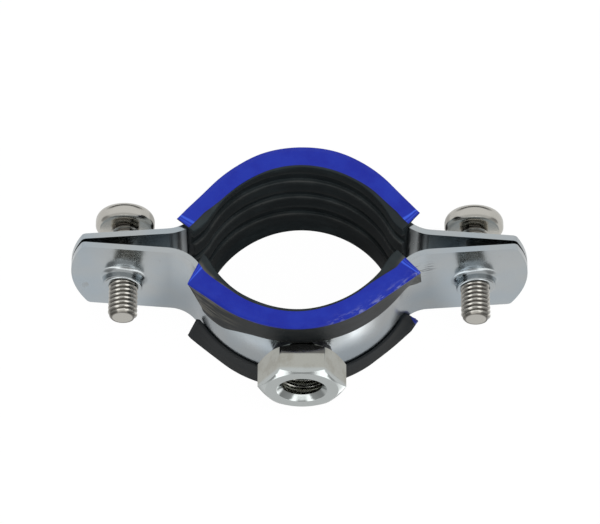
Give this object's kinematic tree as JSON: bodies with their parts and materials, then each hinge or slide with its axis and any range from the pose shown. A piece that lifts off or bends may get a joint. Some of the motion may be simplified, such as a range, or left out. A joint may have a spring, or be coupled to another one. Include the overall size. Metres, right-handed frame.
{
  "type": "rubber lined pipe clamp",
  "caption": "Rubber lined pipe clamp in two halves, held by screws through tapped ears, with a welded hexagon nut for a threaded rod.",
  "frame": {"origin": "in the parting plane between the halves, on the pipe's centre line, at half the clamp's width", "axes": "+X from ear to ear, +Y from the nut towards the screw heads, +Z along the pipe"},
  "size_m": [0.0782, 0.0413, 0.022],
  "materials": {
    "zinc_band": "bright zinc, satin",
    "zinc_nut": "bright zinc, turned",
    "zinc_screw": "bright zinc, cold headed",
    "lining_rubber": "matt black rubber with a blue stripe on both rims"
  },
  "bodies": {
    "front_half": {"front_band": "zinc_band", "front_lining": "lining_rubber", "connection_nut": "zinc_nut"},
    "rear_half": {"rear_band": "zinc_band", "rear_lining": "lining_rubber"},
    "left_screw": {"left_screw": "zinc_screw"},
    "right_screw": {"right_screw": "zinc_screw"}
  },
  "joints": [
    {"name": "rear_half_slide", "type": "slide", "parent": "front_half", "child": "rear_half", "axis": [0, 1, 0], "range_m": [0, 0.008]},
    {"name": "left_screw_turn", "type": "hinge", "parent": "rear_half", "child": "left_screw", "pos_m": [-0.03015, 0, 0], "axis": [0, 1, 0], "range_deg": [0, 3600]},
    {"name": "right_screw_turn", "type": "hinge", "parent": "rear_half", "child": "right_screw", "pos_m": [0.03015, 0, 0], "axis": [0, 1, 0], "range_deg": [0, 3600]}
  ],
  "couplings": [
    {"joint": "left_screw_turn", "follows": "rear_half_slide", "rad_per_m": 7854},
    {"joint": "right_screw_turn", "follows": "rear_half_slide", "rad_per_m": 7854}
  ]
}
